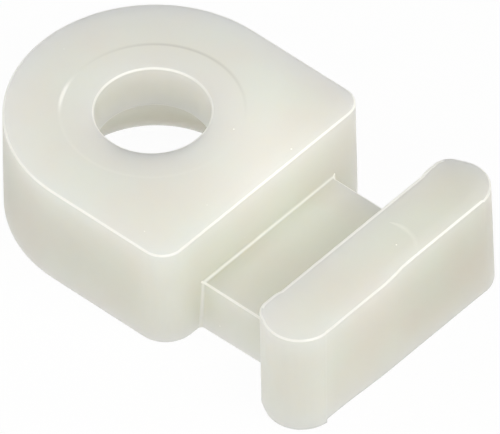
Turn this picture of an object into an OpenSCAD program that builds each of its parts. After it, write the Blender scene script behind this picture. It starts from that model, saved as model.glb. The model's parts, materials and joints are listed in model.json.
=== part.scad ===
// Screw-down cable tie mount, one moulding in natural polyamide.
//
// A flat eye takes one M5 cheese-head screw. A low neck joins the eye to a crossbar, and the
// cable tie is threaded over the neck, through the channel that is left between the eye, the
// crossbar and the wall. The crossbar keeps the tie from sliding off.
//
// Frame: the origin is on the screw axis, in the outer face that the screw head sinks into.
// +Z points to the wall, and +X from the screw axis to the crossbar.

/* [Eye] */
// Width of the eye, and the diameter of its round end
eye_w = 13.3; // [11:0.1:18]
// Thickness of the eye, from the outer face to the wall face
eye_h = 5.5; // [4.5:0.1:9]
// Distance from the screw axis to the square end, at the wall face
eye_reach = 6.7; // [5.6:0.05:12]
// Distance by which the square end leans out towards the outer face, as mould draft
eye_draft = 0.2; // [0:0.02:0.5]
// Distance by which the sides and the round end lean out in the same way
side_draft = 0.08; // [0:0.02:0.2]
// Radius of the two corners at the wall face
corner_r_wall = 1.1; // [0.3:0.1:2.4]
// Radius of the two corners at the outer face
corner_r_outer = 1.5; // [0.3:0.1:2.4]

/* [Screw] */
// Diameter of the hole for the screw's shank
hole_d = 5.2; // [3:0.1:7.5]
// Diameter of the recess for the screw's head
recess_d = 8.8; // [8:0.1:10.5]
// Depth of the recess for the screw's head
recess_depth = 3.15; // [1:0.05:4.5]

/* [Tie channel] */
// Width of the widest cable tie that fits
tie_w = 4.8; // [2.5:0.1:9]
// Side play of that tie between the eye and the crossbar
tie_play = 0.15; // [0:0.01:0.5]

/* [Neck] */
// Thickness of the neck at the eye
neck_h = 2.55; // [1.5:0.05:3.5]
// Width of the neck at the bottom of the channel
neck_w = 8.6; // [4:0.1:9.4]
// Distance by which each side of the neck leans out towards the outer face, as mould draft
neck_draft = 0.3; // [0:0.02:0.4]
// Rise of the neck's underside from the eye to the crossbar
neck_rise = 0.1; // [0:0.05:0.6]
// Size of the small flare where the neck runs into the eye and the crossbar
root_flare = 0.15; // [0.05:0.05:0.3]

/* [Crossbar] */
// Overall length of the crossbar
bar_l = 13.5; // [11.5:0.1:20]
// Thickness of the crossbar's straight wall
bar_t = 3.08; // [2:0.02:5]
// Height by which the crossbar stands proud of the wall face, to bear on the wall first
bar_proud = 0.2; // [0:0.05:0.6]
// Distance by which the rounded ends stand out past the wall on the channel's side
end_swell_in = 0.08; // [0.02:0.02:0.3]
// Distance by which the rounded ends stand out past the wall on the outer side
end_swell_out = 0.05; // [0.01:0.01:0.1]
// Distance by which the rounded ends grow towards the outer face, as mould draft
end_draft = 0.12; // [0:0.02:0.3]
// Radius of the tighter inner corner of each rounded end
end_corner_r = 0.9; // [0.5:0.1:1.3]

/* [Finish] */
// Radius of the outside edges
edge_r = 0.1; // [0.05:0.01:0.2]
// Depth of the witness marks that the mould's sleeve and ejector pin leave
mark_depth = 0.03; // [0.01:0.01:0.06]
// Diameter of the sleeve's witness mark round the screw hole
sleeve_d = 8.4; // [8:0.1:10]
// Width of the sleeve's witness mark
sleeve_mark_w = 0.12; // [0.06:0.02:0.3]
// Diameter of the ejector pin's witness mark on the crossbar
pin_d = 3.2; // [1:0.1:3.6]

/* [Hidden] */
nylon = "#E0E0D5";

bar_h = eye_h + bar_proud;
floor_x = eye_end_x(neck_h);
bar_in_x = floor_x + tie_w + tie_play;
bar_out_x = bar_in_x + bar_t;
bar_mid_x = (bar_in_x + bar_out_x) / 2;

// How far the neck is let into the eye and the crossbar, so that they are one solid
bite = 0.8;
// How far each flare is let into the face that it runs up to
sink = 0.1;
// How far a cut runs past the face that it opens
past = 1;
// Facets of a full circle: the eye, its corners and the bar's ends, and the neck's edges
big_fn = 96;
small_fn = 48;
edge_fn = 16;
// How far along the bar the tighter corner sits, between the end's own middle and its tip
corner_push = 0.65;
// Steps of a rounded edge, as angles
edge_steps = [0, 45, 90];

// Where the eye's leaning end face stands at height z
function eye_end_x(z) = eye_reach + eye_draft * (1 - z / eye_h);

// Disc one edge radius thick, with its lower rim rounded
module rim_disc(r) {
    rim = [for (a = edge_steps) [r - edge_r * (1 - sin(a)), edge_r * (1 - cos(a))]];
    rotate_extrude()
        polygon(concat([[0, 0]], rim, [[0, edge_r]]));
}

// The two end discs of an upright post. A hull over posts gives a block with mould draft and
// rounded rims. Each end is given as [x, y, radius].
module post(z0, z1, low, high) {
    translate([low.x, low.y, z0])
        rim_disc(low.z);
    translate([high.x, high.y, z1])
        mirror([0, 0, 1])
            rim_disc(high.z);
}

// The eye's outside: a round end about the screw axis, and two corners that tighten upwards
module eye_block() {
    half = eye_w / 2;
    hull() {
        post(0, eye_h, [0, 0, half + side_draft], [0, 0, half], $fn = big_fn);
        for (side = [-1, 1])
            post(0, eye_h,
                 [eye_end_x(0) - corner_r_outer, side * (half + side_draft - corner_r_outer),
                  corner_r_outer],
                 [eye_reach - corner_r_wall, side * (half - corner_r_wall), corner_r_wall],
                 $fn = small_fn);
    }
}

// The neck's section at one station: x at the channel's floor, how far it leans out towards the
// outer face, the height of its underside, and its growth on the sides and the floor
module neck_section(x, lean, underside, growth) {
    half = neck_w / 2 + growth - edge_r;
    for (side = [-1, 1])
        post(underside, neck_h + growth,
             [x + lean, side * (half + neck_draft), edge_r],
             [x, side * half, edge_r],
             $fn = edge_fn);
}

// The neck, with a small flare where it runs into the eye's leaning end and into the crossbar
module neck() {
    lean = eye_end_x(0) - floor_x;
    sunk = root_flare + sink;
    hull() {
        neck_section(floor_x - bite, 0, 0, 0);
        neck_section(bar_in_x + bite, 0, neck_rise, 0);
    }
    hull() {
        neck_section(floor_x - sink, lean, 0, sunk);
        neck_section(floor_x + root_flare, lean, 0, 0);
    }
    hull() {
        neck_section(bar_in_x + sink, 0, neck_rise, sunk);
        neck_section(bar_in_x - root_flare, 0, neck_rise, 0);
    }
}

// Radius of a rounded end at the wall face
function end_r() = (bar_t + end_swell_in + end_swell_out) / 2;

// Straight wall of the crossbar, run between the middles of the rounded ends
module bar_wall() {
    hull()
        for (x = [bar_in_x + edge_r, bar_out_x - edge_r], side = [-1, 1]) {
            corner = [x, side * (bar_l / 2 - end_r()), edge_r];
            post(0, bar_h, corner, corner, $fn = edge_fn);
        }
}

// Rounded end of the crossbar on one side, with a tighter corner towards the channel
module bar_end(side) {
    r = end_r();
    x = bar_out_x + end_swell_out - r;
    y = bar_l / 2 - r;
    corner = [bar_in_x - end_swell_in + end_corner_r, y + (r - end_corner_r) * corner_push];
    hull() {
        post(0, bar_h, [x, side * y, r + end_draft], [x, side * y, r], $fn = small_fn);
        post(0, bar_h, [corner.x, side * corner.y, end_corner_r + end_draft],
             [corner.x, side * corner.y, end_corner_r], $fn = small_fn);
    }
}

// The screw's way through: shank hole, head recess, and both mouths eased by an edge radius
module screw_way() {
    hole_r = hole_d / 2;
    recess_r = recess_d / 2;
    translate([0, 0, -past]) {
        cylinder(h = eye_h + 2 * past, r = hole_r, $fn = big_fn);
        cylinder(h = recess_depth + past, r = recess_r, $fn = big_fn);
    }
    translate([0, 0, eye_h - edge_r])
        cylinder(h = 2 * edge_r, r1 = hole_r, r2 = hole_r + 2 * edge_r, $fn = big_fn);
    translate([0, 0, -edge_r])
        cylinder(h = 2 * edge_r, r1 = recess_r + 2 * edge_r, r2 = recess_r, $fn = big_fn);
}

// Witness mark of the ejector sleeve: a hairline ring in the wall face
module sleeve_mark() {
    translate([0, 0, eye_h - mark_depth])
        difference() {
            cylinder(h = past, d = sleeve_d, $fn = big_fn);
            cylinder(h = past, d = sleeve_d - 2 * sleeve_mark_w, $fn = big_fn);
        }
}

// Witness mark of the ejector pin: a shallow disc in the top of the crossbar
module pin_mark() {
    translate([bar_mid_x, 0, bar_h - mark_depth])
        cylinder(h = past, d = pin_d, $fn = small_fn);
}

module tie_mount() {
    color(nylon)
        difference() {
            union() {
                eye_block();
                neck();
                bar_wall();
                bar_end(-1);
                bar_end(1);
            }
            screw_way();
            sleeve_mark();
            pin_mark();
        }
}

tie_mount();
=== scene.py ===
# %% [markdown]
# # A screw-down cable tie mount in natural nylon
#
# The part is one small moulding, about 22 mm long: a flat eye for a screw, a low neck that the
# cable tie wraps, and a crossbar that keeps the tie from sliding off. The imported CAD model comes
# first, as a fixed frame. It already says where the screw hole, the wall face and the outside
# limits are, so the visual mesh takes those from it, and adds what the eye looks for in a
# moulding: smooth curves, softly rounded edges, the marks of the mould and a milky material.

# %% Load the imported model
import json
import math

import bmesh
import bpy
from mathutils import Matrix, Quaternion, Vector


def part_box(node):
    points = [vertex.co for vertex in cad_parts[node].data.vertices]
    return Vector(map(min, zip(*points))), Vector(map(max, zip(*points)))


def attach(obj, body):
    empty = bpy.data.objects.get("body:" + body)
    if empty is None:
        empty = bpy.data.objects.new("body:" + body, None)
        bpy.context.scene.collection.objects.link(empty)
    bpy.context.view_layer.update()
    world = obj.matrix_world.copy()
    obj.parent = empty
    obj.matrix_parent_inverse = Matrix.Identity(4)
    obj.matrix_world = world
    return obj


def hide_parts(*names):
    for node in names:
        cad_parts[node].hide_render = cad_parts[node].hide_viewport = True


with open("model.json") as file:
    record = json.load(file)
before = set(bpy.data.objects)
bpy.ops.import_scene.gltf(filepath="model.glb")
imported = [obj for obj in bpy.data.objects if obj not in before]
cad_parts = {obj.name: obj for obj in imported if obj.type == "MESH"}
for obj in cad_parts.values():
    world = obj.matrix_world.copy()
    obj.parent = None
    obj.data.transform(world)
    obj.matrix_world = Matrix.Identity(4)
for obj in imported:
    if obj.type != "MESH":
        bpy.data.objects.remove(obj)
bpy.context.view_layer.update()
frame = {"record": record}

NODE = "tie_mount"

# %% [markdown]
# ## Sizes
#
# Everything is drawn in millimetres and made metres at the very end. Blender merges points and
# solves booleans with tolerances made for things the size of furniture, so a tenth of a
# millimetre is safer as 0.1 than as 0.0001. What the record states is read from it: the hole, the
# recess and the wall face. The others are the moulding's own sizes, named here once.

# %% Read the sizes that the frame states
MM = 0.001
mounts = {m["name"]: m for m in frame["record"]["mounts"]}
node_low, node_high = (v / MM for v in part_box(NODE))

hole_r = mounts["screw_hole"]["dims"]["r_mm"]
recess_r = mounts["screw_head_recess"]["dims"]["r_mm"]
wall_z = mounts["wall_face"]["pos_m"][2] / MM
bar_top = node_high.z
print("hole", hole_r, "recess", recess_r, "wall face at", wall_z, "crossbar up to", round(bar_top, 2))

# %% Name the moulding's own sizes, in millimetres
edge_r = 0.1           # outside edges
recess_depth = 3.15    # from the outer face up to the seat of the screw's head
eye_reach = 6.7        # screw axis to the square end, at the wall face
eye_draft = 0.2        # how far that end leans out towards the outer face
side_draft = 0.08      # how far the sides and the round end lean out
corner_wall = 1.1      # corner radius at the wall face
corner_outer = 1.5     # corner radius at the outer face

neck_z = 2.55          # floor of the tie's channel
neck_half = 4.3        # half the neck's width at that floor
neck_draft = 0.3       # how far each side leans out towards the outer face
neck_rise = 0.1        # how far the underside rises towards the crossbar
root_r = 0.15          # fillet where the neck runs into the eye and the bar

bar_wall_t = 3.08      # straight wall of the crossbar
swell_in = 0.08        # how far the rounded ends stand out on the channel's side
swell_out = 0.05       # and on the outer side
end_draft = 0.12       # how far the ends grow towards the outer face
end_corner = 0.9       # tighter corner of the rounded ends

eye_r = -node_low.x - side_draft
end_r = (bar_wall_t + swell_in + swell_out) / 2
end_y = node_high.y - end_draft - end_r
bar_out = node_high.x - end_draft - swell_out
bar_in = bar_out - bar_wall_t
print("eye radius", round(eye_r, 3), "crossbar from x", round(bar_in, 3), "to", round(bar_out, 3))

# %% [markdown]
# ## Lofts
#
# A moulding is a stack of outlines: each is a little smaller than the one below it, because of
# the draft that lets the part leave the mould, and the last few shrink quickly where the edge is
# rounded. Joining such rings with quads gives a clean surface whose edges are known by
# construction. A box with a bevel modifier would be quicker, but drafted sides and corners that
# tighten as they rise don't come from a box.
#
# Each point carries a fourth number besides its place, its edge amount. It is 0 on the flats and
# 1 in the middle of a rounding, and below 0 where shade is painted, such as at the foot on the
# table and in a recess. The material uses it later to paint a highlight along the edges, because
# milky plastic is brightest there, and to paint that shade. It is kept on face corners, where a
# boolean carries it over.

# %% Helpers: blends and arcs
def mix(a, b, t):
    """The value at the share t of the way from a to b."""
    return a + (b - a) * t


def ramp(v, start, end):
    """0 before start, 1 past end, and an easy S between."""
    t = min(1.0, max(0.0, (v - start) / (end - start)))
    return t * t * (3 - 2 * t)


def towards(a, degrees, sharpness):
    """1 at one angle round an axis, falling to 0 on both sides of it."""
    return max(0.0, math.cos(a - math.radians(degrees))) ** sharpness


def arc(x, y, r, start, end, steps):
    """Points of an arc about (x, y), from one angle to another, in degrees."""
    angles = [math.radians(mix(start, end, i / steps)) for i in range(steps + 1)]
    return [(x + r * math.cos(a), y + r * math.sin(a)) for a in angles]


print("a quarter turn of radius 1 ends at", [round(v, 3) for v in arc(0, 0, 1, 0, 90, 2)[-1]])

# %% Helper: the levels of a rounded edge
ARC_STEPS = 6          # steps of a rounded edge
FOOT = 0.18            # height of the line of painted shade where a wall meets the table
TABLE_SHADE = -0.25           # its edge amount, which paints that shade


def quarter():
    """Steps of a rounded edge: how far out of the side, how far into the face, how much edge."""
    steps = []
    for i in range(ARC_STEPS + 1):
        a = math.radians(90 * i / ARC_STEPS)
        edge = round(math.sin(2 * a), 6) ** 0.5    # rounded, to be exactly 0 at both ends
        steps.append((1 - math.sin(a), 1 - math.cos(a), edge))
    return steps


def levels(top):
    """A block's rings as (height, inset, edge): a painted shade at the foot, a painted highlight on
    the top rim.
    """
    foot = [(edge_r * rise, edge_r * inset, TABLE_SHADE) for rise, inset, _ in quarter()]
    bright = [(top - edge_r * rise, edge_r * inset, edge) for rise, inset, edge in quarter()]
    return list(reversed(foot)) + [(FOOT, 0, 0)] + bright


print("a rounded edge in", ARC_STEPS, "steps, each", round(math.pi / 2 * edge_r / ARC_STEPS, 3), "mm")

# %% Helper: a loft
def loft(name, rings, capped=True):
    """A mesh object through rings of (x, y, z, edge) points, closed by caps or back on itself."""
    bm = bmesh.new()
    painted_light_and_shade = bm.loops.layers.float.new("painted_light_and_shade")
    rows = [[bm.verts.new(point[:3]) for point in ring] for ring in rings]
    amount = {v: p[3] for row, ring in zip(rows, rings) for v, p in zip(row, ring)}
    pairs = zip(rows, rows[1:]) if capped else zip(rows, rows[1:] + rows[:1])
    for lower, upper in pairs:
        for i, vert in enumerate(lower):
            j = (i + 1) % len(lower)
            bm.faces.new((vert, lower[j], upper[j], upper[i]))
    if capped:
        bm.faces.new(list(reversed(rows[0])))
        bm.faces.new(rows[-1])
    for face in bm.faces:
        for corner in face.loops:
            corner[painted_light_and_shade] = amount[corner.vert]
    bmesh.ops.recalc_face_normals(bm, faces=bm.faces)
    mesh = bpy.data.meshes.new(name)
    bm.to_mesh(mesh)
    bm.free()
    obj = bpy.data.objects.new(name, mesh)
    bpy.context.scene.collection.objects.link(obj)
    return obj


print("a loft's points carry an edge amount, such as", TABLE_SHADE, "at a foot and 1 on an edge")

# %% [markdown]
# ## The eye
#
# In plan the eye is a half circle about the screw, two parallel sides and a square end with two
# rounded corners. The whole outline widens a little towards the outer face, and the corners open
# from 1.1 mm at the wall face to 1.5 mm there. Scaling one outline from ring to ring would lean
# the walls but hardly open the corners, so each ring is worked out for its own height. Shade is
# painted on the wall: a little low down, where less light gets to it, and on one side of the
# round end.

# %% Loft the eye
ROUND_STEPS = 72
CORNER_STEPS = 14
LOW_WALL_SHADE = 0.12       # how much shade is painted on the wall at its foot
SIDE_SHADE = 0.25       # and the painted shade on one side of the round end
SIDE_AT = 215          # where that side is, in degrees round the screw


def eye_end_x(z):
    """Where the square end is at a height."""
    return eye_reach + eye_draft * (1 - z / wall_z)


def wall_shade(x, y, z):
    """The edge amount of the eye's wall: shade painted low down and on one side of the round end."""
    return -LOW_WALL_SHADE * (1 - z / wall_z) - SIDE_SHADE * towards(math.atan2(y, x), SIDE_AT, 4)


def eye_outline(z, inset, edge):
    """The eye's outline at a height: two corners, then the half circle."""
    half = eye_r + side_draft * (1 - z / wall_z)
    r = mix(corner_outer, corner_wall, z / wall_z)
    x, y = eye_end_x(z) - r, half - r
    points = arc(x, -y, r - inset, -90, 0, CORNER_STEPS)
    points += arc(x, y, r - inset, 0, 90, CORNER_STEPS)
    points += arc(0, 0, half - inset, 90, 270, ROUND_STEPS)
    if inset == 0 and edge == 0:
        return [(px, py, z, wall_shade(px, py, z)) for px, py in points]
    return [(px, py, z, edge) for px, py in points]


eye = loft("eye", [eye_outline(*level) for level in levels(wall_z)])
print("eye:", len(eye.data.polygons), "faces")

# %% [markdown]
# ## The crossbar
#
# The bar is a straight wall with a swollen, rounded end on each side. A half circle would do for
# an end, but would miss its tighter corner towards the channel. So each end is the outline round
# two circles: a large one that makes the tip, and a small one that makes that corner. The ends grow
# a little towards the outer face and the wall doesn't, so a faint crease runs down where they meet.
#
# No moulding is perfectly even. One end is slightly fuller and has no draft, and the outer wall
# stands a little out of true, because it shrank unevenly as it cooled. A straight wall would look
# like a drawing. The top's edge along the channel has a painted highlight, and light is painted
# on the bar's flats towards -Y.

# %% Sizes of the crossbar's outline
TIP_STEPS = 24
TIP_START = 6          # where an end begins on the outer side, in degrees round its circle
WALL_STEPS = 16
WALL_PAST = 0.08       # how far the outer wall's last point lies past the middle of that circle
CORNER_PUSH = 0.65     # where the tight corner sits, from the end's middle towards its tip
FULLER = 0.06          # how much fuller the end at -Y is
STAND_TOP = 0.15       # how far the outer wall stands out towards -Y, at the wall face
STAND_FOOT = 0.14      # how far it does towards +Y, at the outer face
STAND_END = 0.03       # and at the -Y end, at the outer face
TOP_FROM, TOP_TO = 0.4, -1.4     # the stretch of Y over which it comes in at the wall face
FOOT_FROM, FOOT_TO = -1.0, -4.5  # and the stretch over which it fades at the outer face
print("ends of radius", round(end_r, 3), "about y =", round(end_y, 3), "and", round(-end_y, 3))

# %% Helpers: one end of the crossbar, and its outer wall
def bar_end_outline(z, inset, fuller=0.0):
    """One rounded end, from the wall's outer side round the tip to its inner side."""
    grow = (0 if fuller else end_draft * (1 - z / bar_top)) - inset
    big, small = end_r + fuller + grow, end_corner + grow
    bx, by = bar_out + swell_out - end_r + fuller, end_y
    sx, sy = bar_in - swell_in + end_corner, end_y + (end_r - end_corner) * CORNER_PUSH
    dx, dy = bx - sx, by - sy
    tangent = math.degrees(math.atan2(dy, dx) + math.acos((small - big) / math.hypot(dx, dy)))
    last = 360 - math.degrees(math.acos((bar_in + inset - bx) / big))
    points = arc(bx, by, big, TIP_START, tangent, TIP_STEPS)
    points += arc(sx, sy, small, tangent, 180, CORNER_STEPS)
    points += arc(bx, by, big, 180, last, ARC_STEPS)
    return points


def wall_stand(y, z):
    """How far the outer wall stands out of true at one place."""
    at_top = STAND_TOP * ramp(y, TOP_FROM, TOP_TO)
    at_foot = mix(STAND_FOOT, STAND_END, ramp(y, FOOT_FROM, FOOT_TO))
    return mix(at_foot, at_top, z / bar_top)


print("at y = -3 the wall leans from", round(wall_stand(-3, 0), 3), "to", wall_stand(-3, bar_top))

# %% Loft the crossbar
CHANNEL_HIGHLIGHT, CHANNEL_HIGHLIGHT_W = 0.8, 0.05 # edge amount of the painted highlight along the channel's edge, and the width of each of its two steps
NEAR_END_LIGHT = 0.08            # edge amount of the light painted on the bar's flats at -Y
NEAR_END_LIGHT_HALF = 2.0        # half the stretch of Y over which that comes in, mm


def bar_outline(z, inset, edge, channel_highlight=0.0):
    """The whole outline, with light painted on towards -Y. Its side on the channel has a painted
    highlight of its own.
    """
    far = bar_end_outline(z, inset)
    near = [(x, -y) for x, y in reversed(bar_end_outline(z, inset, FULLER))]
    half = end_y + WALL_PAST
    wall = [mix(-half, half, i / WALL_STEPS) for i in range(WALL_STEPS + 1)]
    wall = [(bar_out - inset + wall_stand(y, z), y) for y in wall]
    inner = bar_in + inset + 0.01   # what is short of this lies on the channel's side
    points = []
    for x, y in far + near + wall:
        # light painted on the flats towards -Y, and the painted highlight along the channel's edge
        own = NEAR_END_LIGHT * ramp(y, NEAR_END_LIGHT_HALF, -NEAR_END_LIGHT_HALF) if edge == 0 else edge
        points.append((x, y, z, max(own, channel_highlight) if x < inner else own))
    return points


rings = [bar_outline(*level) for level in levels(bar_top)]
rings[-1] = bar_outline(bar_top, edge_r, 0, CHANNEL_HIGHLIGHT)
rings.append(bar_outline(bar_top, edge_r + CHANNEL_HIGHLIGHT_W, 0, CHANNEL_HIGHLIGHT))
rings.append(bar_outline(bar_top, edge_r + 2 * CHANNEL_HIGHLIGHT_W, 0))
bar = loft("crossbar", rings)
print("crossbar:", len(bar.data.polygons), "faces")

# %% [markdown]
# ## The neck
#
# The neck is lofted along X. Its section has four rounded edges, and it grows along a quarter
# circle near each end, which makes the fillets at its roots. The eye's end face leans, so the
# section's points lean with it there. A boolean between plain blocks, with a bevel over the seam,
# would make fillets too, but a loft gives even ones that can't fail. The fillets get a painted
# highlight on the neck's sides and only a hairline of it across its top, and shade is painted on
# the top at -Y.

# %% Helpers: the neck's section and its rings
BITE = 0.8             # how far the neck is let into the eye and the crossbar
NECK_TOP_SHADE = -0.2        # edge amount of the shade painted on the neck's top at -Y
HAIRLINE = 0.75        # edge amount of the highlight painted on the fillets across the top
HAIR_POWER = 9         # how quickly that falls off: a higher power makes a thinner line


def neck_section(grow, z_low):
    """The neck's section, as (y, z, edge) points. It grows on the sides and the top."""
    half_top, half_low = neck_half + grow, neck_half + neck_draft + grow
    z_top = neck_z + grow
    corners = [(half_low, z_low, -90), (half_top, z_top, 0)]
    corners += [(-half_top, z_top, 90), (-half_low, z_low, 180)]
    points = []
    for y, z, start in corners:
        cy = y - math.copysign(edge_r, y)
        cz = z + (edge_r if z == z_low else -edge_r)
        turn = arc(cy, cz, edge_r, start, start + 90, ARC_STEPS)
        for (py, pz), (_, _, edge) in zip(turn, quarter()):
            # painted shade on the neck's top at -Y
            flat = NECK_TOP_SHADE if py < 0 and pz > z_top - 0.001 else 0
            points.append((py, pz, edge or flat))
    return points


def neck_ring(gap, grow, edge, at_eye):
    """One ring, a gap away from the eye's leaning face or from the crossbar."""
    ring = []
    for y, z, own in neck_section(grow, 0 if at_eye else neck_rise):
        x = eye_end_x(min(max(z, 0), neck_z)) + gap if at_eye else bar_in - gap
        if edge:
            own = max(own, edge if z < neck_z - edge_r else HAIRLINE * edge ** HAIR_POWER)
        ring.append((x, y, z, own))
    return ring


print("the neck's section has", len(neck_section(0, 0)), "points")

# %% Loft the neck
root = [(root_r * gap, root_r * grow, edge) for grow, gap, edge in quarter()]
rings = [neck_ring(-BITE, root_r, 0, True)]
rings += [neck_ring(*step, True) for step in root]
rings += [neck_ring(*step, False) for step in reversed(root)]
rings += [neck_ring(-BITE, root_r, 0, False)]
neck = loft("neck", rings)
print("neck:", len(neck.data.polygons), "faces")

# %% [markdown]
# ## The screw's way through
#
# The hole, the head's recess and their rounded mouths are one lathe shape: a profile that is
# turned about the screw axis and then cut out of the moulding. A screw modifier on a curve would
# turn it too, but it leaves the two ends open, and a boolean needs a closed solid. A lathe in
# code can also give each angle a profile of its own, which the light and shade painted on the
# bore and the mould's marks below make use of.

# %% Helpers: a lathe and a boolean
LATHE_STEPS = 144


def lathe(name, profile_at, capped=True):
    """A closed solid turned about Z. At each angle, profile_at gives (radius, height, edge) points."""
    turns = [math.tau * i / LATHE_STEPS for i in range(LATHE_STEPS)]
    profiles = [[(r * math.cos(a), r * math.sin(a), z, edge) for r, z, edge in profile_at(a)]
                for a in turns]
    return loft(name, list(zip(*profiles)), capped)


def boolean(obj, other, operation):
    """Joins or cuts with the exact solver, keeps the result and removes the other object."""
    mod = obj.modifiers.new("boolean", "BOOLEAN")
    mod.operation = operation
    mod.solver = "EXACT"
    mod.object = other
    bpy.context.view_layer.update()
    evaluated = obj.evaluated_get(bpy.context.evaluated_depsgraph_get())
    mesh = bpy.data.meshes.new_from_object(evaluated)
    obj.modifiers.clear()
    obj.data = mesh
    bpy.data.objects.remove(other)
    return obj


print("a lathe turns in", LATHE_STEPS, "steps of", 360 / LATHE_STEPS, "degrees")

# %% Join the three blocks
moulding = boolean(boolean(eye, neck, "UNION"), bar, "UNION")
print("three blocks in one:", len(moulding.data.polygons), "faces")

# %% Cut the screw's way
PAST = 1.0             # how far a cutter runs past the face that it opens
MOUTH = -0.8           # edge amount of the recess's mouth, which stands in its own shade
SHADE_Z, SHADE_END = 1.3, 0.25   # height where that shade has ended, and the amount there
BORE_LIGHT, BORE_LIGHT_AT = 0.3, 43     # edge amount of the light painted on one side of the bore, and its direction
BORE_SHADE, BORE_SHADE_AT = 0.15, 223   # how much shade is painted on its other side, and its direction


def rim(r, z, turn_r, turn_z):
    """Rounding between a bore's wall and a face, from the wall to the face."""
    return [(r + turn_r * edge_r * out, z + turn_z * edge_r * up, edge)
            for up, out, edge in quarter()]


def screw_way(a):
    """Recess, seat and bore: shade painted in the mouth, light and shade on two sides of the bore."""
    # light and shade painted on two sides of the bore
    bore_light_and_shade = BORE_LIGHT * towards(a, BORE_LIGHT_AT, 1) - BORE_SHADE * towards(a, BORE_SHADE_AT, 1)
    points = [(recess_r + edge_r, -PAST, MOUTH)]
    points += [(r, z, MOUTH) for r, z, _ in reversed(rim(recess_r, 0, 1, 1))]
    points += [(recess_r, SHADE_Z, SHADE_END)]
    points += rim(recess_r, recess_depth, -1, -1)
    points += [(r, z, edge or bore_light_and_shade) for r, z, edge in reversed(rim(hole_r, recess_depth, 1, 1))]
    points += [(r, z, edge or bore_light_and_shade) for r, z, edge in rim(hole_r, wall_z, 1, -1)]
    return points + [(hole_r + edge_r, wall_z + PAST, 0)]


moulding = boolean(moulding, lathe("screw_way", screw_way), "DIFFERENCE")
print("moulding:", len(moulding.data.vertices), "points,", len(moulding.data.polygons), "faces")

# %% [markdown]
# ## The mould's witness marks
#
# The part is pushed out of the mould by a sleeve round the screw's core and by a pin under the
# middle of the crossbar. Each leaves a hairline where it meets the mould: a ring round the hole,
# and part of a ring on the bar, where the pin sat a little too deep on one side. They are cut as
# shallow V grooves. A bump texture would be quicker, but real grooves also stay in an exported
# mesh. A glint is painted on one side of the ring, faint light on a second side and shade on a
# third, and a highlight is painted along part of the pin's ring.

# %% Helper: a groove's section
def groove(r, width, depth, lift, bright):
    """A V across a face at height 0, carried on above the face so that it opens cleanly. The amount
    bright is light painted at its bottom, and shade when it is below 0.
    """
    steps = ((0.5, 1, 0), (0, 0, 0), (-0.5, -1, bright), (-1, 0, 0), (-1.5, 1, 0))
    return [(r + width * out, lift + depth * up, edge) for out, up, edge in steps]


print("a groove has", len(groove(1, 0.1, 0.1, 0, 0)), "points across")

# %% Cut the sleeve's ring
SLEEVE_R, SLEEVE_W, SLEEVE_DEPTH = 4.24, 0.24, 0.024
RING_GLINT, RING_GLINT_AT = 1.6, 207       # edge amount of the glint painted on the ring, and its direction in degrees
RING_LIGHT, RING_LIGHT_AT = 0.1, 280         # the same for faint light painted on a second side
RING_SHADE, RING_SHADE_AT = 0.3, 110    # how much shade is painted on the third side, and its direction


def sleeve_profile(a):
    """A painted glint on one side, faint painted light on a second and painted shade on a third."""
    bright = RING_GLINT * towards(a, RING_GLINT_AT, 60) + RING_LIGHT * towards(a, RING_LIGHT_AT, 1)
    bright -= RING_SHADE * towards(a, RING_SHADE_AT, 2)
    return groove(SLEEVE_R, SLEEVE_W, SLEEVE_DEPTH, 0, bright)


sleeve = lathe("sleeve_mark", sleeve_profile, capped=False)
sleeve.data.transform(Matrix.Translation((0, 0, wall_z)))
moulding = boolean(moulding, sleeve, "DIFFERENCE")
print("with the ring:", len(moulding.data.polygons), "faces")

# %% Cut the pin's part ring
PIN_R, PIN_W, PIN_DEPTH = 1.9, 0.35, 0.015
PIN_DEEP_AT = 70       # direction in which the groove is deepest, in degrees
PIN_LIFT = 0.05        # how far it has risen out of the face on the pin's other side
PIN_HIGHLIGHT, PIN_HIGHLIGHT_AT = 0.25, 100     # edge amount of the highlight painted along one stretch, and its direction


def pin_profile(a):
    """A groove that rises out of the face on both sides of where it is deepest, with a painted
    highlight.
    """
    lift = PIN_LIFT * (1 - towards(a, PIN_DEEP_AT, 1))
    return groove(PIN_R, PIN_W, PIN_DEPTH, lift, PIN_HIGHLIGHT * towards(a, PIN_HIGHLIGHT_AT, 3))


pin = lathe("pin_mark", pin_profile, capped=False)
pin.data.transform(Matrix.Translation(((bar_in + bar_out) / 2, 0, bar_top)))
moulding = boolean(moulding, pin, "DIFFERENCE")
print("with both marks:", len(moulding.data.polygons), "faces")

# %% [markdown]
# ## A clean mesh, its normals and its real size
#
# Where two cuts meet, a boolean can leave two points a hair apart, and with them a face without
# area. Welding such points keeps the mesh closed. The flat faces are large and the rounded edges
# are narrow strips, so normals weighted by face area keep the flats dead flat and put all of the
# bend in the strips, as on the real moulding.

# %% Weld the points that nearly touch
WELD = 0.001           # points closer than this, in mm, become one

mesh = moulding.data
bm = bmesh.new()
bm.from_mesh(mesh)
bmesh.ops.remove_doubles(bm, verts=bm.verts, dist=WELD)
bmesh.ops.dissolve_degenerate(bm, dist=WELD, edges=bm.edges)
open_edges = sum(not edge.is_manifold for edge in bm.edges)
bm.to_mesh(mesh)
bm.free()
print("edges without two faces:", open_edges)

# %% Scale to metres, shade smooth and weight the normals
mesh.transform(Matrix.Scale(MM, 4))
mesh.polygons.foreach_set("use_smooth", [True] * len(mesh.polygons))
moulding.name = mesh.name = "moulding"
weighted = moulding.modifiers.new("weighted normals", "WEIGHTED_NORMAL")
weighted.keep_sharp = True
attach(moulding, "root")
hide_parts(NODE)
print("attributes kept:", [a.name for a in mesh.attributes])

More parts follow.
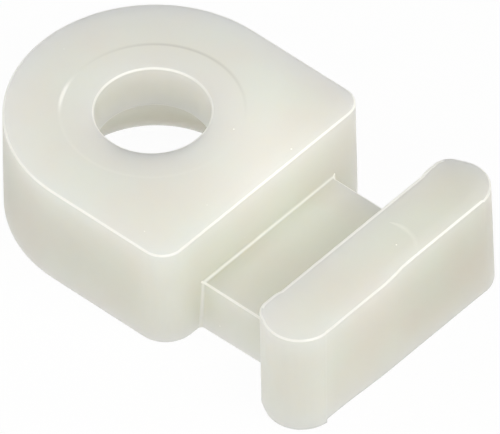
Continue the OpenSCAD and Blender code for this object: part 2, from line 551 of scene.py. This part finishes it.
# %% [markdown]
# ## The material: natural polyamide 6.6, moulded
#
# Uncoloured nylon is milky. Light goes a millimetre or more into it, scatters, and comes out warm,
# so hollows are never dark, and thin edges, which take light from two sides, look almost white.
# The surface is satin: the mould was spark-eroded, not polished.
#
# Subsurface scattering gives the milkiness. On an object this small it would also wash the edges
# away, so the edge amounts turn it down there and whiten the colour, a painted highlight. Below 0
# they grey the colour, as painted shade. A pointiness node could find the edges without them, but
# it depends on the mesh's density and knows no places of painted shade.

# %% Helpers: colours and nodes
def linear(hex_colour):
    """An sRGB hex colour as linear red, green, blue and alpha."""
    channels = [int(hex_colour[i:i + 2], 16) / 255 for i in (1, 3, 5)]
    low = [c / 12.92 if c <= 0.04045 else ((c + 0.055) / 1.055) ** 2.4 for c in channels]
    return (*low, 1.0)


def add(tree, kind, settings=None, inputs=None):
    """Adds a node, sets its properties, and sets or links its inputs by name or number."""
    node = tree.nodes.new(kind)
    for key, value in (settings or {}).items():
        setattr(node, key, value)
    for key, value in (inputs or {}).items():
        if isinstance(value, bpy.types.NodeSocket):
            tree.links.new(value, node.inputs[key])
        else:
            node.inputs[key].default_value = value
    return node


def new_material(name):
    """A material with an empty node tree, and that tree."""
    material = bpy.data.materials.new(name)
    material.use_nodes = True
    material.node_tree.nodes.clear()
    return material, material.node_tree


print("mid grey #808080 is", round(linear("#808080")[0], 3), "in linear light")

# %% [markdown]
# ### The colour inside
#
# The resin is never quite even: cloudy patches of a few millimetres are a touch pinker or
# greener. Shade is also painted on along a slanting line: the colour is greyest at the far end of
# the crossbar, where less light falls, and palest towards the eye. Both are slow changes, so they
# are plain noise and a plain ramp.

# %% Natural nylon: cloudy patches, and painted shade towards the crossbar's far end
CLOUD = 3.85           # size of the patches, mm
SLANT = (1.0, 0.6, 0.0)          # the line along which the painted shade fades
GREYEST, PALEST = 17.0, 6.0      # where the painted shade is strongest and where it has gone, mm along that line

nylon, tree = new_material("natural_polyamide_moulded")
place = add(tree, "ShaderNodeTexCoord").outputs["Object"]
cloud = add(tree, "ShaderNodeTexNoise", None,
            {"Vector": place, "Scale": 1 / (CLOUD * MM), "Detail": 2.0, "Roughness": 0.5})
patch = add(tree, "ShaderNodeMapRange", None,
            {"Value": cloud.outputs["Fac"], "From Min": 0.35, "From Max": 0.65})
along = add(tree, "ShaderNodeVectorMath", {"operation": "DOT_PRODUCT"},
            {0: place, 1: SLANT})
# painted shade, strongest at the crossbar's far end
far_end_shade = add(tree, "ShaderNodeMapRange", None,
            {"Value": along.outputs["Value"], "From Min": GREYEST * MM, "From Max": PALEST * MM})
warm = add(tree, "ShaderNodeMix", {"data_type": "RGBA"},
           {0: far_end_shade.outputs["Result"], 6: linear("#CCC8BD"), 7: linear("#DEDBD1")})
cool = add(tree, "ShaderNodeMix", {"data_type": "RGBA"},
           {0: far_end_shade.outputs["Result"], 6: linear("#CBCDC1"), 7: linear("#DDDFD4")})
body = add(tree, "ShaderNodeMix", {"data_type": "RGBA"},
           {0: patch.outputs["Result"], 6: warm.outputs[2], 7: cool.outputs[2]})
print("patches of", CLOUD, "mm on a part of", round(node_high.x - node_low.x, 1), "mm")

# %% [markdown]
# ### Specks, painted highlights and painted shade
#
# A few specks of dust and flash cling to the plastic. They are the middles of a few cells of a
# Voronoi pattern, chosen by the cells' random colours. Specks and the painted highlight along
# edges whiten the body's colour. Edge amounts below 0 grey it instead, as painted shade.

# %% Natural nylon: specks, painted highlights and painted shade
CELL = 0.25            # size of the cells that may hold a speck, mm
SPECK, CORE = 0.18, 0.1          # radius of a speck and of its solid middle, as shares of a cell
FEW = 0.94             # only cells whose random number is above this hold one

cells = add(tree, "ShaderNodeTexVoronoi", None, {"Vector": place, "Scale": 1 / (CELL * MM)})
near = add(tree, "ShaderNodeMapRange", None,
           {"Value": cells.outputs["Distance"], "From Min": SPECK, "From Max": CORE})
few = add(tree, "ShaderNodeMath", {"operation": "GREATER_THAN"},
          {0: cells.outputs["Color"], 1: FEW})
speck = add(tree, "ShaderNodeMath", {"operation": "MULTIPLY"},
            {0: near.outputs[0], 1: few.outputs[0]})
edge = add(tree, "ShaderNodeAttribute", {"attribute_name": "painted_light_and_shade"}).outputs["Fac"]
# how much the painted highlight along edges and the dust specks whiten the colour
light = add(tree, "ShaderNodeMath", {"operation": "MAXIMUM"},
            {0: edge, 1: speck.outputs[0]}).outputs[0]
# how much painted shade greys it, from edge amounts below 0
painted_shade = add(tree, "ShaderNodeMath", {"operation": "MULTIPLY"}, {0: edge, 1: -1.0}).outputs[0]
# FFFEF4: the white of the specks and of the painted highlight
bright = add(tree, "ShaderNodeMix", {"data_type": "RGBA"},
             {0: light, 6: body.outputs[2], 7: linear("#FFFEF4")})
# 8A867C: the grey of the painted shade
colour = add(tree, "ShaderNodeMix", {"data_type": "RGBA"},
             {0: painted_shade, 6: bright.outputs[2], 7: linear("#8A867C")})
print("specks up to", round(2 * SPECK * CELL, 2), "mm across")

# %% [markdown]
# ### Depth and surface
#
# The light's reach inside is drawn at 8 mm, further than in real nylon, because that evens out
# the tones across the whole of a part this small and makes it look milky. Red goes deepest and
# blue least, which warms the hollows. Nylon has an index of refraction of 1.53, and a roughness of
# 0.3 gives its satin. A spark-eroded mould leaves a grain of 0.02 to 0.05 mm. That is too fine to
# show, so it is drawn at about 0.11 mm, and very shallow.

# %% Natural nylon: depth, grain and gloss
GRAIN = 0.111          # size of the grain, mm, coarser than the real one
REACH = 8.0            # how far light goes inside, mm
MILKY_TO = 0.3         # edge amount up to which the plastic is fully milky

milky = add(tree, "ShaderNodeMapRange", None, {"Value": light, "From Min": 1.0, "From Max": MILKY_TO})
grain = add(tree, "ShaderNodeTexNoise", None,
            {"Vector": place, "Scale": 1 / (GRAIN * MM), "Detail": 2.0})
bump = add(tree, "ShaderNodeBump", None,
           {"Strength": 0.06, "Distance": 0.01 * MM, "Height": grain.outputs["Fac"]})
shader = add(tree, "ShaderNodeBsdfPrincipled", None,
             {"Base Color": colour.outputs[2], "Normal": bump.outputs["Normal"],
              "Roughness": 0.3, "IOR": 1.53, "Subsurface Weight": milky.outputs[0],
              "Subsurface Radius": (1.0, 0.93, 0.8), "Subsurface Scale": REACH * MM})
add(tree, "ShaderNodeOutputMaterial", None, {"Surface": shader.outputs["BSDF"]})
mesh.materials.clear()
mesh.materials.append(nylon)
print(nylon.name, "has", len(tree.nodes), "nodes")

# %% [markdown]
# ## The floor
#
# The part lies on a sheet of white paper over a table that is lit from below. The sheet takes the
# part's shadow like any other, and lets light up through it, which makes milky plastic glow from
# its foot. What the camera sees of it directly is lifted towards white, and nothing else is, so
# no lamp has to be strong enough to bleach it.

# %% White paper on a light table
FLOOR = 3.0            # half the floor's side, m
FLOOR_GAP = 0.02       # how far it lies under the part, mm, so that the two faces don't fight
FLOOR_LIFT = 0.92      # share of plain white in what the camera sees of it

floor_mesh = bpy.data.meshes.new("floor")
corners = [(-FLOOR, -FLOOR, 0), (FLOOR, -FLOOR, 0), (FLOOR, FLOOR, 0), (-FLOOR, FLOOR, 0)]
floor_mesh.from_pydata(corners, [], [(0, 1, 2, 3)])
floor = bpy.data.objects.new("floor", floor_mesh)
floor.location.z = -FLOOR_GAP * MM
bpy.context.scene.collection.objects.link(floor)
paper, tree = new_material("white_paper")
rays = add(tree, "ShaderNodeLightPath")
matte = add(tree, "ShaderNodeBsdfDiffuse", None, {"Color": linear("#F2F2F0")})
through = add(tree, "ShaderNodeBsdfTranslucent", None, {"Color": linear("#F2F2F0")})
sheet = add(tree, "ShaderNodeMixShader", None,
            {0: 0.5, 1: matte.outputs[0], 2: through.outputs[0]})
white = add(tree, "ShaderNodeEmission", None, {"Strength": 1.0})
lift = add(tree, "ShaderNodeMath", {"operation": "MULTIPLY"},
           {0: rays.outputs["Is Camera Ray"], 1: FLOOR_LIFT})
shown = add(tree, "ShaderNodeMixShader", None,
            {0: lift.outputs[0], 1: sheet.outputs[0], 2: white.outputs[0]})
add(tree, "ShaderNodeOutputMaterial", None, {"Surface": shown.outputs[0]})
floor_mesh.materials.append(paper)
print("floor", 2 * FLOOR, "m wide,", FLOOR_GAP, "mm under the part")

# %% [markdown]
# ## The sky
#
# A weak, even white sky fills the shadows. The camera, gloss and clear things see it at full
# white instead, so that the background is white without more light on the part.

# %% White sky
SKY = 0.2              # its level as a light

world = bpy.data.worlds.new("white_sky")
bpy.context.scene.world = world
world.use_nodes = True
tree = world.node_tree
tree.nodes.clear()
rays = add(tree, "ShaderNodeLightPath")
direct = add(tree, "ShaderNodeMath", {"operation": "MAXIMUM"},
             {0: rays.outputs["Is Camera Ray"], 1: rays.outputs["Is Transmission Ray"]})
seen = add(tree, "ShaderNodeMath", {"operation": "MAXIMUM"},
           {0: direct.outputs[0], 1: rays.outputs["Is Glossy Ray"]})
sky = add(tree, "ShaderNodeBackground", None, {"Color": linear("#FFFFFF"), "Strength": SKY})
plain = add(tree, "ShaderNodeBackground", None, {"Color": linear("#FFFFFF"), "Strength": 1.0})
mixed = add(tree, "ShaderNodeMixShader", None,
            {0: seen.outputs[0], 1: sky.outputs[0], 2: plain.outputs[0]})
add(tree, "ShaderNodeOutputWorld", None, {"Surface": mixed.outputs[0]})
print("sky at", SKY, "as a light and 1 as a background")

# %% [markdown]
# ## Lamps
#
# The key is a large box above the crossbar, so the top and the square end are the brightest faces.
# A fill over the round end keeps the near side pale, a small lamp close to the far side gives it
# a faint sheen, and one box shines up through the table. Close lamps fall off quickly across a
# part this small, which gives each face its slow change of tone.

# %% Soft boxes
def softbox(name, direction, distance, size, level):
    """A square lamp aimed at the screw's hole. Level 1 alone would show a white card as white."""
    lamp = bpy.data.lights.new(name, "AREA")
    lamp.size = size
    lamp.energy = level * math.pi ** 2 * distance ** 2
    obj = bpy.data.objects.new(name, lamp)
    obj.location = Vector(direction).normalized() * distance
    obj.rotation_euler = obj.location.to_track_quat("Z", "Y").to_euler()
    bpy.context.scene.collection.objects.link(obj)
    print(name, round(lamp.energy, 4), "W at", distance, "m")


softbox("key", (0.64, 0.0, 0.77), 0.25, 0.2, 0.66)
softbox("fill", (-0.25, -0.58, 0.77), 0.06, 0.05, 0.38)
softbox("sheen", (-0.16, 0.52, 0.83), 0.0195, 0.003, 0.02)
softbox("light_table", (0, 0, -1), 0.2, 0.3, 0.25)

# %% [markdown]
# A snoot is a tube on a lamp that leaves a soft round pool of light. One is aimed at the edge
# between the top and the square end, where the part glows most.

# %% The snoot
def snoot(name, aim, direction, distance, radius, level):
    """A round pool of light with a soft border, about a point given in millimetres."""
    lamp = bpy.data.lights.new(name, "SPOT")
    lamp.energy = level * 4 * math.pi ** 2 * distance ** 2
    lamp.shadow_soft_size = 0.05 * distance
    lamp.spot_size = 2 * math.atan(radius * MM / distance)
    lamp.spot_blend = 1.0
    obj = bpy.data.objects.new(name, lamp)
    back = Vector(direction).normalized()
    obj.location = Vector(aim) * MM + back * distance
    obj.rotation_euler = back.to_track_quat("Z", "Y").to_euler()
    bpy.context.scene.collection.objects.link(obj)
    print(name, "lights a pool of", 2 * radius, "mm")


snoot("glow", (6.8, 1.2, 4.8), (0.75, 0.1, 0.65), 0.08, 6.8, 0.32)

# %% [markdown]
# ## The camera
#
# A long lens from far away keeps parallel edges nearly parallel, as in a catalogue picture. The
# camera is placed by two angles and a distance from the point that it looks at, with a slight
# roll. Placing it by coordinates would hide what each number does.

# %% Camera
AZIMUTH, ELEVATION, ROLL = 42.8, 45.88, -1.27      # degrees
DISTANCE = 0.8         # from that point, m
SPAN = 22.11           # width of the view at the part, mm
AIM = (5.43, 0.32, 2.15)   # the point in the middle of the view, mm

a, e = math.radians(AZIMUTH), math.radians(ELEVATION)
back = Vector((math.sin(a) * math.cos(e), -math.cos(a) * math.cos(e), math.sin(e)))
lens = bpy.data.cameras.new("camera")
lens.sensor_width = 36.0
lens.lens = lens.sensor_width * DISTANCE / (SPAN * MM)
lens.clip_start, lens.clip_end = 0.1, 5.0
camera = bpy.data.objects.new("camera", lens)
camera.location = Vector(AIM) * MM + back * DISTANCE
turned = back.to_track_quat("Z", "Y") @ Quaternion((0, 0, 1), math.radians(ROLL))
camera.rotation_euler = turned.to_euler()
bpy.context.scene.collection.objects.link(camera)
bpy.context.scene.camera = camera
bpy.context.scene.view_settings.view_transform = "Standard"
print("lens", round(lens.lens), "mm")
